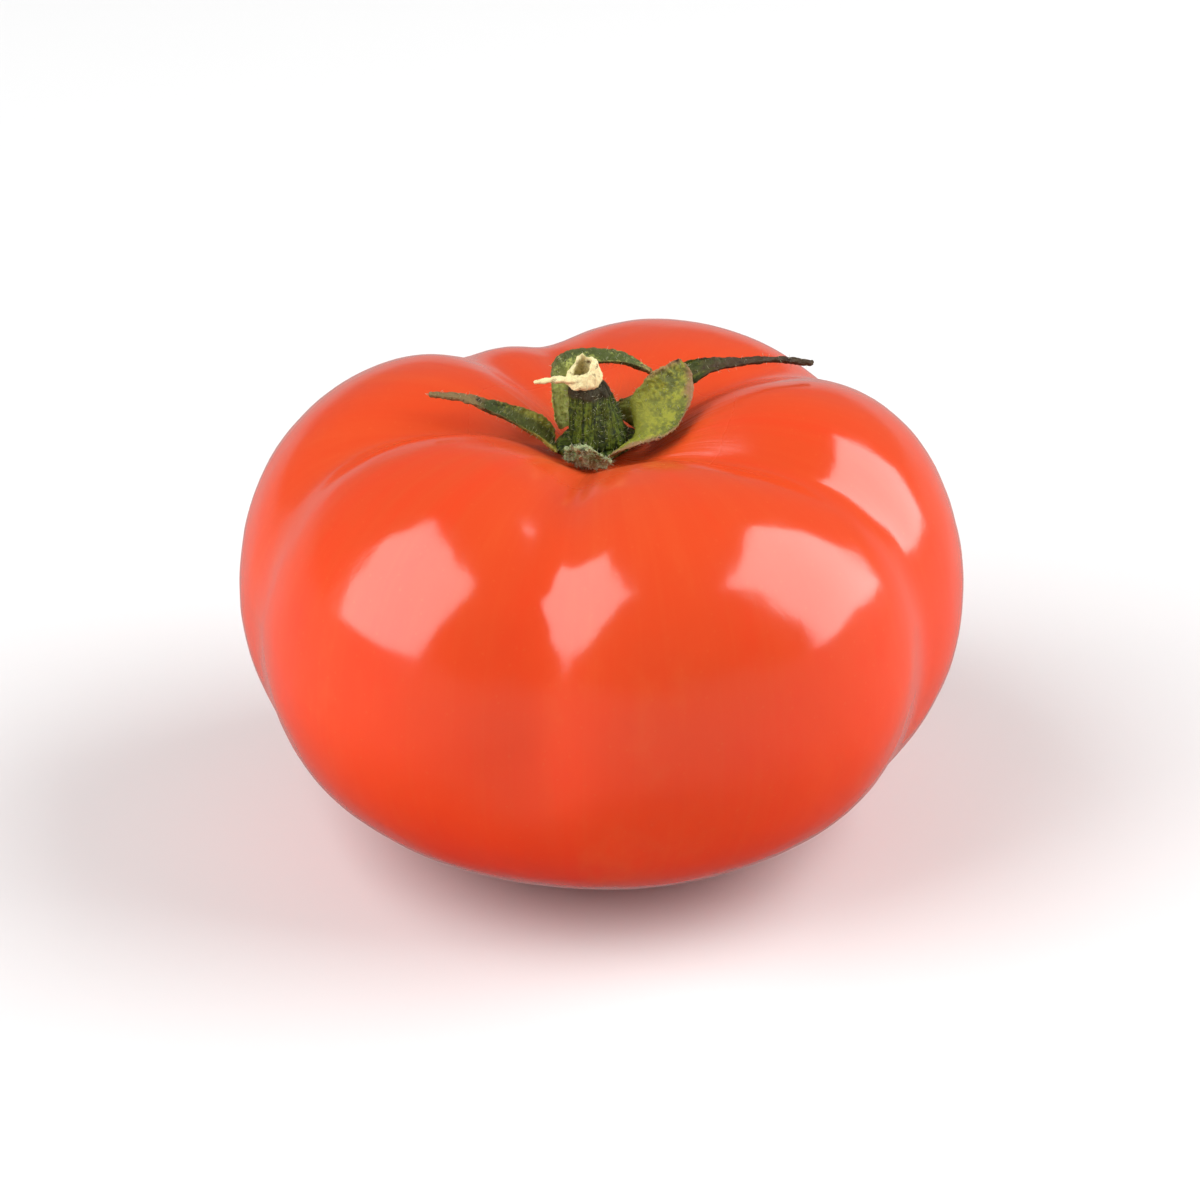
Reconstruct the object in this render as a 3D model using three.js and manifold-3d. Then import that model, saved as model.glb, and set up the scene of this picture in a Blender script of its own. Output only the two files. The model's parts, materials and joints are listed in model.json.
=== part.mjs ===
// A beefsteak tomato as picked: one ribbed fruit with a flattened base, and in the hollow at its top a
// calyx of five sepals round a disc, with a short stub of stem that has dried off at its end.
//
// Units are millimetres, +Z is up, and the origin is the centre of the small flat the fruit rests on.
// Azimuths are in degrees, seen from above: 0 is the front (-Y), 90 the right (+X), 180 the back (+Y).
import * as THREE from "three";
import Module from "manifold-3d";

// ---------------------------------------------------------------- driving dimensions

// Fruit. The skin is a profile that turns about Z, and shallow furrows divide it into lobes.
const FRUIT_WIDTH = 90; // across the equator, before the furrows cut in
const EQUATOR_HEIGHT = 30; // height of the widest girth above the resting flat
const SHOULDER_HEIGHT = 55; // height of the ring of shoulders above the resting flat
const SHOULDER_RADIUS = 22; // radius of the ring of shoulders
const HOLLOW_DEPTH = 5.4; // depth of the stem hollow's floor below the shoulders
const REST_RADIUS = 11; // the small flat underneath
const SHOULDER_FULLNESS = 2.15; // 2 is an ellipse, more is squarer
const BELLY_FULLNESS = 2.02;

// Furrows between lobes. azimuth: where one crosses the equator; drift: how far it has turned aside by
// the middle; spread: its width; side: how deep it cuts the equator; top: how far it lowers the shoulder.
const FURROWS = [
  { azimuth: -10, drift: -2, spread: 8.5, side: 3.2, top: 3.4 },
  { azimuth: 68, drift: -18, spread: 9, side: 3.0, top: 3.0 },
  { azimuth: 126, drift: 0, spread: 12, side: 2.2, top: 3.0 },
  { azimuth: 192, drift: 0, spread: 11, side: 2.0, top: 3.8 },
  { azimuth: 213, drift: 0, spread: 10, side: 1.8, top: 3.0 },
  { azimuth: 285, drift: -26, spread: 10, side: 2.2, top: 3.8 },
];
const FURROW_ROUNDING = 4; // degrees over which the bottom of a furrow is rounded

// Lobes that stand higher or lower than the ring of shoulders, and further out or in at the equator.
const SWELLS = [
  { azimuth: 156, spread: 30, side: 0.5, top: 0.7 },
  { azimuth: 92, spread: 28, side: 0.6, top: 2.4 },
  { azimuth: 24, spread: 34, side: 0.6, top: 1.2 },
  { azimuth: -46, spread: 34, side: 0.4, top: 1.4 },
  { azimuth: -112, spread: 34, side: 0.6, top: 0.8 },
];

// Calyx and stem.
const SEAT_GAP = 0.3; // clearance wherever one piece lies on or beside another
const DISC_THICKNESS = 1.1; // the green disc that the sepals grow from
const DISC_OVERHANG = 1.5; // how far the disc reaches beyond the foot of the stub
const STEM_BASE_RADIUS = 3.4;
const STEM_TOP_RADIUS = 2.4;
const STEM_LENGTH = 7.4;
const STEM_RIBBING = 0.035; // how far its ridges stand out, as a share of its radius
const STEM_LEAN = { azimuth: -100, shift: 1.5 }; // where the top stands, off the fruit's axis
const DRY_END_LENGTH = 3.1; // pale dried wood above the green stub
const DRY_END_RADIUS = 2.1;
const STRIP_LENGTH = 6.2; // the strip peeled off the dried end
const STRIP_THICKNESS = 0.9;
const RIB_THICKNESS = 0.9; // a sepal along its midrib
const MARGIN_THICKNESS = 0.35; // a sepal at its margins

// Sepals, each a run of stations from the disc's rim to the tip. out: distance beyond the rim; lift: height
// of the midrib above the skin; width: across the blade; face: azimuth and rise of the direction across it;
// cup: how far the margins stand above the midrib, as a share of half the width.
const SEPALS = [
  {
    name: "sepal_left",
    stations: [
      { out: 0, azimuth: -84, lift: 0.7, width: 5.0, face: [4, -12], cup: 0.25 },
      { out: 2.4, azimuth: -86, lift: 1.5, width: 3.8, face: [0, -20], cup: 0.6 },
      { out: 5.3, azimuth: -91, lift: 2.4, width: 2.8, face: [0, -20], cup: 0.7 },
      { out: 8.2, azimuth: -93, lift: 3.3, width: 2.0, face: [0, -16], cup: 0.6 },
      { out: 11.1, azimuth: -94, lift: 3.8, width: 1.4, face: [0, -10], cup: 0.3 },
      { out: 15.2, azimuth: -94, lift: 3.4, width: 0.8, face: [0, -10], cup: 0.1 },
    ],
  },
  {
    name: "sepal_right",
    stations: [
      { out: 0, azimuth: 124, lift: 0.9, width: 5.0, face: [208, 14], cup: 0.2 },
      { out: 2.6, azimuth: 120, lift: 1.6, width: 4.6, face: [200, 32], cup: 0.25 },
      { out: 5.9, azimuth: 119, lift: 3.4, width: 4.3, face: [190, 44], cup: 0.35 },
      { out: 7.2, azimuth: 116, lift: 3.9, width: 3.3, face: [188, 40], cup: 0.5 },
      { out: 9.4, azimuth: 113, lift: 3.6, width: 2.0, face: [188, 26], cup: 0.6 },
      { out: 12.6, azimuth: 112, lift: 2.8, width: 1.5, face: [192, 12], cup: 0.4 },
      { out: 17.6, azimuth: 113, lift: 2.1, width: 0.9, face: [200, 0], cup: 0.2 },
      { out: 22.7, azimuth: 113, lift: 1.4, width: 0.7, face: [204, 0], cup: 0.1 },
    ],
  },
  {
    name: "sepal_front_right",
    stations: [
      { out: 0, azimuth: 80, lift: 2.0, width: 7.2, face: [172, 28], cup: 0.1 },
      { out: 1.7, azimuth: 91, lift: 2.4, width: 8.8, face: [178, 33], cup: 0.4 },
      { out: 3.5, azimuth: 98, lift: 2.2, width: 10.0, face: [181, 35], cup: 0.4 },
      { out: 4.9, azimuth: 102, lift: 2.6, width: 8.6, face: [181, 36], cup: 0.35 },
      { out: 5.9, azimuth: 103, lift: 2.9, width: 4.6, face: [181, 36], cup: 0.3 },
    ],
  },
  {
    name: "sepal_back",
    stations: [
      { out: 0.1, azimuth: 216, lift: 0.9, width: 4.8, face: [304, 0], cup: 0.2 },
      { out: 0.7, azimuth: 226, lift: 3.1, width: 4.6, face: [314, 0], cup: 0.4 },
      { out: 0.9, azimuth: 224, lift: 6.0, width: 4.2, face: [300, 4], cup: 0.5 },
      { out: 1.1, azimuth: 216, lift: 8.0, width: 3.6, face: [250, 20], cup: 0.5 },
      { out: 1.1, azimuth: 196, lift: 8.5, width: 3.0, face: [200, 16], cup: 0.5 },
      { out: 2.0, azimuth: 162, lift: 7.0, width: 2.6, face: [190, 8], cup: 0.5 },
      { out: 3.6, azimuth: 150, lift: 5.0, width: 1.8, face: [190, 8], cup: 0.4 },
      { out: 5.3, azimuth: 145, lift: 3.1, width: 0.8, face: [190, 8], cup: 0.1 },
    ],
  },
  {
    name: "sepal_front",
    stations: [
      { out: 0, azimuth: -16, lift: 0.5, width: 5.2, face: [74, 0], cup: 0.1 },
      { out: 1.0, azimuth: -16, lift: 1.1, width: 5.2, face: [74, 0], cup: 0.15 },
      { out: 1.6, azimuth: -17, lift: 1.9, width: 4.4, face: [73, 0], cup: 0.2 },
      { out: 1.9, azimuth: -18, lift: 3.0, width: 2.6, face: [72, 0], cup: 0.15 },
    ],
  },
];

// How finely each surface is faceted.
const FRUIT_SIDES = 84;
const FRUIT_RINGS = { floor: 2, wall: 8, shoulder: 12, belly: 13, rest: 2 };
const SEPAL_STEPS = 18; // along a blade
const SEPAL_POINTS = 7; // across a blade
const STEM_SIDES = 30;
const STRIP_STEPS = 8;
const STRIP_SIDES = 8;

// ---------------------------------------------------------------- helpers

const DEG = Math.PI / 180;
const UP = new THREE.Vector3(0, 0, 1);

/** Smallest signed difference between two azimuths, in degrees. */
function azimuthGap(a, b) {
  return THREE.MathUtils.euclideanModulo(a - b + 180, 360) - 180;
}

/** A point at a radius, azimuth and height. */
function polar(radius, azimuth, z) {
  return new THREE.Vector3(radius * Math.sin(azimuth * DEG), -radius * Math.cos(azimuth * DEG), z);
}

/** A unit vector that points along an azimuth and rises above the horizontal. */
function heading([azimuth, rise]) {
  return polar(Math.cos(rise * DEG), azimuth, Math.sin(rise * DEG));
}

/** A closed skin over rings of points, anticlockwise seen from the last ring, with both ends capped. */
function closedRings(rings, first, last) {
  const sides = rings[0].length;
  const points = [first, ...rings.flat(), last];
  const at = (ring, side) => 1 + ring * sides + (side % sides);
  const index = [];
  for (let s = 0; s < sides; s++) index.push(0, at(0, s + 1), at(0, s));
  for (let r = 0; r + 1 < rings.length; r++) {
    for (let s = 0; s < sides; s++) {
      const [a, b, c, d] = [at(r, s), at(r, s + 1), at(r + 1, s), at(r + 1, s + 1)];
      index.push(a, b, c, b, d, c);
    }
  }
  for (let s = 0; s < sides; s++) {
    index.push(points.length - 1, at(rings.length - 1, s), at(rings.length - 1, s + 1));
  }
  const geometry = new THREE.BufferGeometry().setFromPoints(points).setIndex(index);
  geometry.computeVertexNormals();
  return geometry;
}

/** The mean of a ring of points. */
function middle(ring) {
  return ring.reduce((sum, p) => sum.add(p), new THREE.Vector3()).divideScalar(ring.length);
}

// ---------------------------------------------------------------- fruit

const HOLLOW_FLOOR = SHOULDER_HEIGHT - HOLLOW_DEPTH;
const DISC_RADIUS = STEM_BASE_RADIUS + DISC_OVERHANG;
const FLOOR_RADIUS = DISC_RADIUS + 2 * SEAT_GAP;

/** How strongly a furrow acts at a radius and azimuth: 1 along its middle, falling away on both flanks. */
function furrowShare(furrow, r, azimuth) {
  const inward = 1 - r / (FRUIT_WIDTH / 2);
  const gap = azimuthGap(azimuth, furrow.azimuth + furrow.drift * inward);
  return Math.exp(-(Math.hypot(gap, FURROW_ROUNDING) - FURROW_ROUNDING) / furrow.spread);
}

/** How strongly a swell acts at an azimuth. */
function swellShare(swell, azimuth) {
  return Math.exp(-((azimuthGap(azimuth, swell.azimuth) / swell.spread) ** 2));
}

/** Equator radius at an azimuth. How much of the furrows is left fades towards the resting flat. */
function girth(azimuth, furrowing = 1) {
  let radius = FRUIT_WIDTH / 2;
  for (const furrow of FURROWS) {
    radius -= furrow.side * furrowing * furrowShare(furrow, FRUIT_WIDTH / 2, azimuth);
  }
  for (const swell of SWELLS) radius += swell.side * swellShare(swell, azimuth);
  return radius;
}

/** Height of the shoulders at a radius and azimuth. */
function shoulderHeight(r, azimuth) {
  let height = SHOULDER_HEIGHT;
  for (const furrow of FURROWS) height -= furrow.top * furrowShare(furrow, r, azimuth);
  for (const swell of SWELLS) height += swell.top * swellShare(swell, azimuth);
  return height;
}

/** Height of the upper skin at a radius and azimuth: the hollow, then the fall beyond the shoulders. */
function skinHeight(r, azimuth) {
  if (r <= FLOOR_RADIUS) return HOLLOW_FLOOR;
  const shoulder = shoulderHeight(r, azimuth);
  if (r <= SHOULDER_RADIUS) {
    const share = (r - FLOOR_RADIUS) / (SHOULDER_RADIUS - FLOOR_RADIUS);
    return HOLLOW_FLOOR + (shoulder - HOLLOW_FLOOR) * (1 - (1 - share) ** 2);
  }
  const share = Math.min(1, (r - SHOULDER_RADIUS) / (girth(azimuth) - SHOULDER_RADIUS));
  const fall = (1 - share ** SHOULDER_FULLNESS) ** (1 / SHOULDER_FULLNESS);
  return EQUATOR_HEIGHT + (shoulder - EQUATOR_HEIGHT) * fall;
}

/** The skin's profile at an azimuth: [radius, height] pairs from the resting flat to the hollow's floor. */
function profile(azimuth) {
  const points = [];
  for (let i = 1; i <= FRUIT_RINGS.rest; i++) points.push([(REST_RADIUS * i) / FRUIT_RINGS.rest, 0]);
  for (let i = 1; i <= FRUIT_RINGS.belly; i++) {
    const turn = (i / FRUIT_RINGS.belly) * 90 * DEG;
    const out = Math.sin(turn) ** (2 / BELLY_FULLNESS);
    const down = Math.max(0, Math.cos(turn)) ** (2 / BELLY_FULLNESS);
    const radius = girth(azimuth, Math.sin(turn) ** 2);
    points.push([REST_RADIUS + (radius - REST_RADIUS) * out, EQUATOR_HEIGHT * (1 - down)]);
  }
  for (let i = 1; i <= FRUIT_RINGS.shoulder; i++) {
    const turn = (i / FRUIT_RINGS.shoulder) * 90 * DEG;
    const out = i === FRUIT_RINGS.shoulder ? 0 : Math.cos(turn) ** (2 / SHOULDER_FULLNESS);
    const r = SHOULDER_RADIUS + (girth(azimuth) - SHOULDER_RADIUS) * out;
    points.push([r, skinHeight(r, azimuth)]);
  }
  for (let i = FRUIT_RINGS.wall - 1; i >= 0; i--) {
    const r = FLOOR_RADIUS + ((SHOULDER_RADIUS - FLOOR_RADIUS) * i) / FRUIT_RINGS.wall;
    points.push([r, skinHeight(r, azimuth)]);
  }
  for (let i = FRUIT_RINGS.floor - 1; i > 0; i--) {
    points.push([(FLOOR_RADIUS * i) / FRUIT_RINGS.floor, HOLLOW_FLOOR]);
  }
  return points;
}

/** The fruit's skin, one profile for each side. */
function fruitGeometry() {
  const columns = [];
  for (let s = 0; s < FRUIT_SIDES; s++) {
    const azimuth = (360 * s) / FRUIT_SIDES;
    columns.push(profile(azimuth).map(([radius, z]) => polar(radius, azimuth, z)));
  }
  const rings = columns[0].map((_, r) => columns.map((column) => column[r]));
  return closedRings(rings, polar(0, 0, 0), polar(0, 0, HOLLOW_FLOOR));
}

// ---------------------------------------------------------------- calyx

const DISC_BOTTOM = HOLLOW_FLOOR + SEAT_GAP;
const DISC_TOP = DISC_BOTTOM + DISC_THICKNESS;
const CALYX_RIM = DISC_RADIUS + SEAT_GAP + RIB_THICKNESS / 2; // a blade's foot leans in by half its rib

/** The disc, a low dome with a scalloped rim. */
function discGeometry() {
  const layers = [
    { share: 0.86, z: DISC_BOTTOM },
    { share: 1, z: DISC_BOTTOM + DISC_THICKNESS * 0.35 },
    { share: 0.96, z: DISC_BOTTOM + DISC_THICKNESS * 0.8 },
    { share: 0.84, z: DISC_TOP },
  ];
  const rings = layers.map(({ share, z }) => {
    const ring = [];
    for (let s = 0; s < STEM_SIDES; s++) {
      const azimuth = (360 * s) / STEM_SIDES;
      const scallop = 0.06 * Math.sin(azimuth * 5 * DEG) ** 2;
      ring.push(polar(DISC_RADIUS * share * (1 - scallop), azimuth, z));
    }
    return ring;
  });
  return closedRings(rings, polar(0, 0, DISC_BOTTOM), polar(0, 0, DISC_TOP));
}

/** How far a point must rise to stand clear of the skin below it. */
function riseNeeded(point) {
  const azimuth = Math.atan2(point.x, -point.y) / DEG;
  return Math.max(0, skinHeight(Math.hypot(point.x, point.y), azimuth) + SEAT_GAP - point.z);
}

/** One ring round a sepal's blade: its underside from margin to margin, then back along its upper side. */
function bladeRing(centre, across, normal, width, cup) {
  const upper = [];
  const lower = [];
  for (let k = 0; k < SEPAL_POINTS; k++) {
    const side = (2 * k) / (SEPAL_POINTS - 1) - 1;
    const rib = (1 - Math.abs(side)) ** 1.5;
    const half = (MARGIN_THICKNESS + (RIB_THICKNESS - MARGIN_THICKNESS) * rib) / 2;
    const spot = centre.clone().addScaledVector(across, (side * width) / 2);
    spot.addScaledVector(normal, (cup * width * side * side) / 2);
    const under = spot.clone().addScaledVector(normal, -half);
    const over = spot.clone().addScaledVector(normal, half);
    const rise = Math.max(riseNeeded(under), riseNeeded(over));
    under.z += rise;
    over.z += rise;
    lower.push(under);
    upper.push(over);
  }
  return [...lower, ...upper.reverse()];
}

/** A sepal: a thin cupped blade lofted through its stations, kept clear of the skin below it. */
function sepalGeometry({ stations }) {
  const path = new THREE.CatmullRomCurve3(
    stations.map(({ out, azimuth, lift }) =>
      polar(CALYX_RIM + out, azimuth, skinHeight(CALYX_RIM + out, azimuth) + SEAT_GAP + lift),
    ),
  );
  const faces = new THREE.CatmullRomCurve3(stations.map(({ face }) => heading(face)));
  const forms = new THREE.CatmullRomCurve3(
    stations.map(({ width, cup }) => new THREE.Vector3(width, cup, 0)),
  );
  const rings = [];
  for (let i = 0; i <= SEPAL_STEPS; i++) {
    const t = i / SEPAL_STEPS;
    const along = path.getTangent(t);
    const across = faces.getPoint(t).normalize();
    const normal = new THREE.Vector3().crossVectors(along, across).normalize();
    const { x: width, y: cup } = forms.getPoint(t);
    rings.push(bladeRing(path.getPoint(t), across, normal, width, cup));
  }
  return closedRings(rings, middle(rings[0]), middle(rings[rings.length - 1]));
}

// ---------------------------------------------------------------- stem

/** Where the stem's axis stands at a height above the disc, following its lean. */
function stemAxis(height) {
  const share = height / STEM_LENGTH;
  return polar(STEM_LEAN.shift * share, STEM_LEAN.azimuth, DISC_TOP + SEAT_GAP + height);
}

/** Rings round the stem's axis. Each layer gives a height and a radius; ribs raise ridges along it. */
function stemRings(layers, ribs) {
  return layers.map(({ height, radius, jag = 0 }) => {
    const centre = stemAxis(height);
    const ring = [];
    for (let s = 0; s < STEM_SIDES; s++) {
      const azimuth = (360 * s) / STEM_SIDES;
      const ridge = 1 + ribs * Math.cos(5 * azimuth * DEG) + 0.4 * ribs * Math.cos(3 * azimuth * DEG + 1);
      const lift = jag * (Math.sin(2 * azimuth * DEG + 0.6) + 0.6 * Math.sin(5 * azimuth * DEG + 2));
      ring.push(centre.clone().add(polar(radius * ridge, azimuth, lift)));
    }
    return ring;
  });
}

/** The stub, flared at its foot and ribbed along its length. */
function stemGeometry() {
  const waist = (STEM_BASE_RADIUS + STEM_TOP_RADIUS) / 2;
  const layers = [
    { height: 0, radius: STEM_BASE_RADIUS * 0.97 },
    { height: STEM_LENGTH * 0.1, radius: STEM_BASE_RADIUS },
    { height: STEM_LENGTH * 0.3, radius: waist * 1.1 },
    { height: STEM_LENGTH * 0.5, radius: waist },
    { height: STEM_LENGTH * 0.72, radius: STEM_TOP_RADIUS * 1.08 },
    { height: STEM_LENGTH * 0.9, radius: STEM_TOP_RADIUS },
    { height: STEM_LENGTH, radius: STEM_TOP_RADIUS * 0.9 },
  ];
  return closedRings(stemRings(layers, STEM_RIBBING), stemAxis(0), stemAxis(STEM_LENGTH));
}

/** A tapering strip, oval across, that follows a path of points. */
function stripGeometry(points) {
  const path = new THREE.CatmullRomCurve3(points);
  const rings = [];
  for (let i = 0; i <= STRIP_STEPS; i++) {
    const t = i / STRIP_STEPS;
    const along = path.getTangent(t);
    const across = new THREE.Vector3().crossVectors(UP, along).normalize();
    const normal = new THREE.Vector3().crossVectors(along, across);
    const size = STRIP_THICKNESS * (1 - 0.65 * t);
    const ring = [];
    for (let s = 0; s < STRIP_SIDES; s++) {
      const turn = (s / STRIP_SIDES) * 2 * Math.PI;
      const spot = path.getPoint(t).addScaledVector(across, size * Math.cos(turn));
      ring.push(spot.addScaledVector(normal, size * 0.6 * Math.sin(turn)));
    }
    rings.push(ring);
  }
  return closedRings(rings, path.getPoint(0), path.getPoint(1));
}

/** The dried end: a shrunken, torn cap with one strip of it peeled off sideways. */
async function dryEndGeometry() {
  const start = STEM_LENGTH + SEAT_GAP;
  const layers = [
    { height: start, radius: DRY_END_RADIUS },
    { height: start + DRY_END_LENGTH * 0.25, radius: DRY_END_RADIUS },
    { height: start + DRY_END_LENGTH * 0.5, radius: DRY_END_RADIUS * 0.88, jag: 0.1 },
    { height: start + DRY_END_LENGTH * 0.75, radius: DRY_END_RADIUS * 0.62, jag: 0.25 },
    { height: start + DRY_END_LENGTH * 0.92, radius: DRY_END_RADIUS * 0.35, jag: 0.2 },
  ];
  const rings = stemRings(layers, 2 * STEM_RIBBING);
  const cap = closedRings(rings, stemAxis(start), stemAxis(start + DRY_END_LENGTH));
  const root = stemAxis(start + DRY_END_LENGTH * 0.3);
  const strip = stripGeometry([
    root,
    root.clone().add(polar(STRIP_LENGTH * 0.45, -80, 0.2)),
    root.clone().add(polar(STRIP_LENGTH * 0.75, -78, -0.1)),
    root.clone().add(polar(STRIP_LENGTH, -74, -0.7)),
  ]);
  return joined(cap, strip);
}

/** Closed geometries that cut into each other, made into one solid. */
async function joined(...geometries) {
  const wasm = await Module();
  wasm.setup();
  const solids = geometries.map((geometry) => {
    const vertProperties = geometry.attributes.position.array;
    const triVerts = new Uint32Array(geometry.index.array);
    return new wasm.Manifold(new wasm.Mesh({ numProp: 3, vertProperties, triVerts }));
  });
  const mesh = solids.reduce((sum, solid) => sum.add(solid)).getMesh();
  const geometry = new THREE.BufferGeometry()
    .setAttribute("position", new THREE.BufferAttribute(mesh.vertProperties, 3))
    .setIndex(new THREE.BufferAttribute(mesh.triVerts, 1));
  geometry.computeVertexNormals();
  return geometry;
}

// ---------------------------------------------------------------- the tomato

const MATERIALS = {
  skin: new THREE.MeshStandardMaterial({ color: 0xf04a22, roughness: 0.22, metalness: 0 }),
  leaf: new THREE.MeshStandardMaterial({ color: 0x4e6b2c, roughness: 0.7, metalness: 0 }),
  stalk: new THREE.MeshStandardMaterial({ color: 0x557a2b, roughness: 0.65, metalness: 0 }),
  dry: new THREE.MeshStandardMaterial({ color: 0xd9c79a, roughness: 0.85, metalness: 0 }),
};

const tomato = new THREE.Group();

/** Adds one named piece to the tomato. */
function addPiece(name, geometry, material) {
  const mesh = new THREE.Mesh(geometry, material);
  mesh.name = name;
  tomato.add(mesh);
}

addPiece("fruit", fruitGeometry(), MATERIALS.skin);
addPiece("calyx_disc", discGeometry(), MATERIALS.stalk);
addPiece("stem_stub", stemGeometry(), MATERIALS.stalk);
addPiece("stem_dry_end", await dryEndGeometry(), MATERIALS.dry);
for (const sepal of SEPALS) addPiece(sepal.name, sepalGeometry(sepal), MATERIALS.leaf);

export default tomato;
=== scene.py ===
"""A beefsteak tomato with its calyx and stem stub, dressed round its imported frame.

Lengths are metres, +Z is up, and the fruit rests on the origin with its front towards -Y.
Azimuths are degrees seen from above: 0 is the front (-Y), 90 the right (+X), 180 the back.
"""

import json
import logging
import math
import random
from dataclasses import dataclass, field
from enum import Enum
from typing import Callable, Sequence

import bmesh
import bpy
from mathutils import Matrix, Vector, noise

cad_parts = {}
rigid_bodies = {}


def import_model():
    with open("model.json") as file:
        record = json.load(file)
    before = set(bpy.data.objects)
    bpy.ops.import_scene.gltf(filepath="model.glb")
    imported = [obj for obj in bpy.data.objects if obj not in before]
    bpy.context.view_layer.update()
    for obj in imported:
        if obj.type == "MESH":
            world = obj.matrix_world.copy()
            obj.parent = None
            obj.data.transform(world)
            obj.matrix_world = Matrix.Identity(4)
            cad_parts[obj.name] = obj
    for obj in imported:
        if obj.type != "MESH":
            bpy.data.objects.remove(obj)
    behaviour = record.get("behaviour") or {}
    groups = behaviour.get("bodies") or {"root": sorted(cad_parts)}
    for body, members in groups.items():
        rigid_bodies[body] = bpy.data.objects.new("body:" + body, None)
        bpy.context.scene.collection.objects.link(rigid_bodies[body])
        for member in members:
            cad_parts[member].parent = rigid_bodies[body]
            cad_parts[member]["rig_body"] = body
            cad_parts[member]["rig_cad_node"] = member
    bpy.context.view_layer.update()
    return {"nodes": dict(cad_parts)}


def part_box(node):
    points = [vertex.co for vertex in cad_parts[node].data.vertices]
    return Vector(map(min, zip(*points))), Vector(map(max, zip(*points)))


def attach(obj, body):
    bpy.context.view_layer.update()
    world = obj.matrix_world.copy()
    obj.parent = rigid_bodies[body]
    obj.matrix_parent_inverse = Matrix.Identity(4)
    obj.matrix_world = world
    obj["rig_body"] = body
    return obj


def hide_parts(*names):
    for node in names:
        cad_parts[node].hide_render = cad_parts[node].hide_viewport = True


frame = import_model()

LOG = logging.getLogger("tomato")
MM = 0.001
MERGE_DISTANCE = 0.01 * MM
Colour = tuple[float, float, float]


def angle_between(azimuth: float, other: float) -> float:
    """How many degrees lie between two azimuths, 0 to 180."""
    return abs((azimuth - other + 180) % 360 - 180)


# ---------------------------------------------------------------- shading helpers


class Cells(Enum):
    """What a pattern of scattered cells measures at each place."""

    TO_POINT = "F1"
    TO_BORDER = "DISTANCE_TO_EDGE"


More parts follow.
